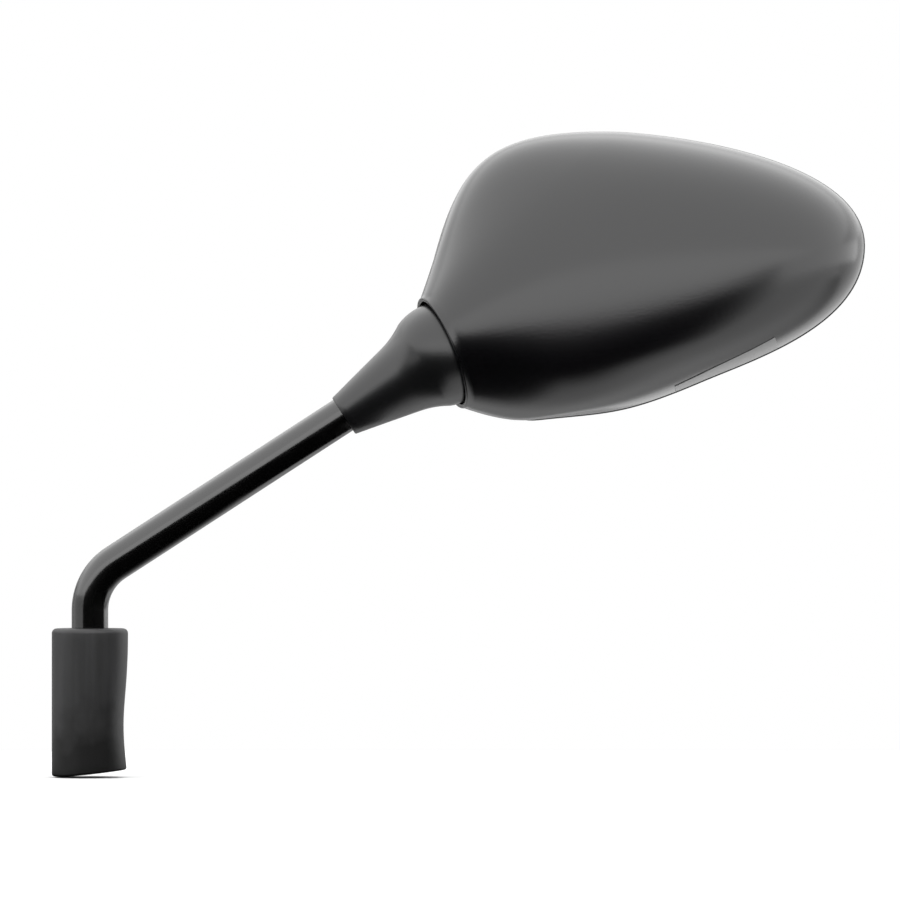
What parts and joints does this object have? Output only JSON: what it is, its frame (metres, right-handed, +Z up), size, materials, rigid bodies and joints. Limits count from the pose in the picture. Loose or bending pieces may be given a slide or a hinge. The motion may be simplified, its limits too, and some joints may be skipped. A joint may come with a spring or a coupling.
{
  "type": "motorcycle mirror",
  "caption": "Convex rear-view mirror in a teardrop housing on a ball joint, carried by a bent rod stem with a threaded stud and a rubber base sleeve.",
  "frame": {"origin": "on the threaded stud's axis, where the lock nut's washer meets the bike", "axes": "+X from the stem towards the head's tip, +Y towards the rider, who sees the glass, +Z up along the stud's axis, away from the bike"},
  "size_m": [0.2674, 0.051, 0.2121],
  "materials": {
    "gloss_black": "gloss black powder coat on steel rod",
    "zinc": "zinc-plated steel",
    "black_oxide": "black-oxide steel",
    "rubber": "matte moulded rubber",
    "boot_plastic": "satin black elastomer",
    "ball_steel": "turned steel",
    "seat_plastic": "natural acetal",
    "bracket_plastic": "glass-filled nylon",
    "housing_plastic": "satin black moulded plastic with fine grain",
    "carrier_plastic": "black moulded plastic",
    "foam": "closed-cell foam tape",
    "mirror_glass": "silvered convex glass",
    "bezel_plastic": "satin black moulded plastic"
  },
  "bodies": {
    "stem": {"stem": "gloss_black", "nut_washer": "zinc", "lock_nut": "black_oxide", "neck_boot": "boot_plastic", "ball_washer": "zinc"},
    "sleeve": {"base_sleeve": "rubber"},
    "ball": {"ball": "ball_steel"},
    "seat": {"ball_seat": "seat_plastic"},
    "head": {"socket_bracket": "bracket_plastic", "clamp_plate": "black_oxide", "clamp_screws": "zinc", "clamp_springs": "zinc", "housing": "housing_plastic", "bracket_screws": "zinc", "carrier_plate": "carrier_plastic", "carrier_screws": "zinc", "foam_pad": "foam", "glass": "mirror_glass", "bezel": "bezel_plastic"}
  },
  "joints": [
    {"name": "sleeve_slide", "type": "slide", "parent": "stem", "child": "sleeve", "axis": [0, 0, 1], "range_m": [0, 0.005]},
    {"name": "head_tilt", "type": "hinge", "parent": "stem", "child": "ball", "pos_m": [0.1149, 0, 0.11162], "axis": [0.8387, 0, 0.5446], "range_deg": [-12, 12]},
    {"name": "head_roll", "type": "hinge", "parent": "ball", "child": "seat", "pos_m": [0.1149, 0, 0.11162], "axis": [0, 1, 0], "range_deg": [-12, 12]},
    {"name": "head_pan", "type": "hinge", "parent": "seat", "child": "head", "pos_m": [0.1149, 0, 0.11162], "axis": [-0.5446, 0, 0.8387], "range_deg": [-12, 12]}
  ]
}
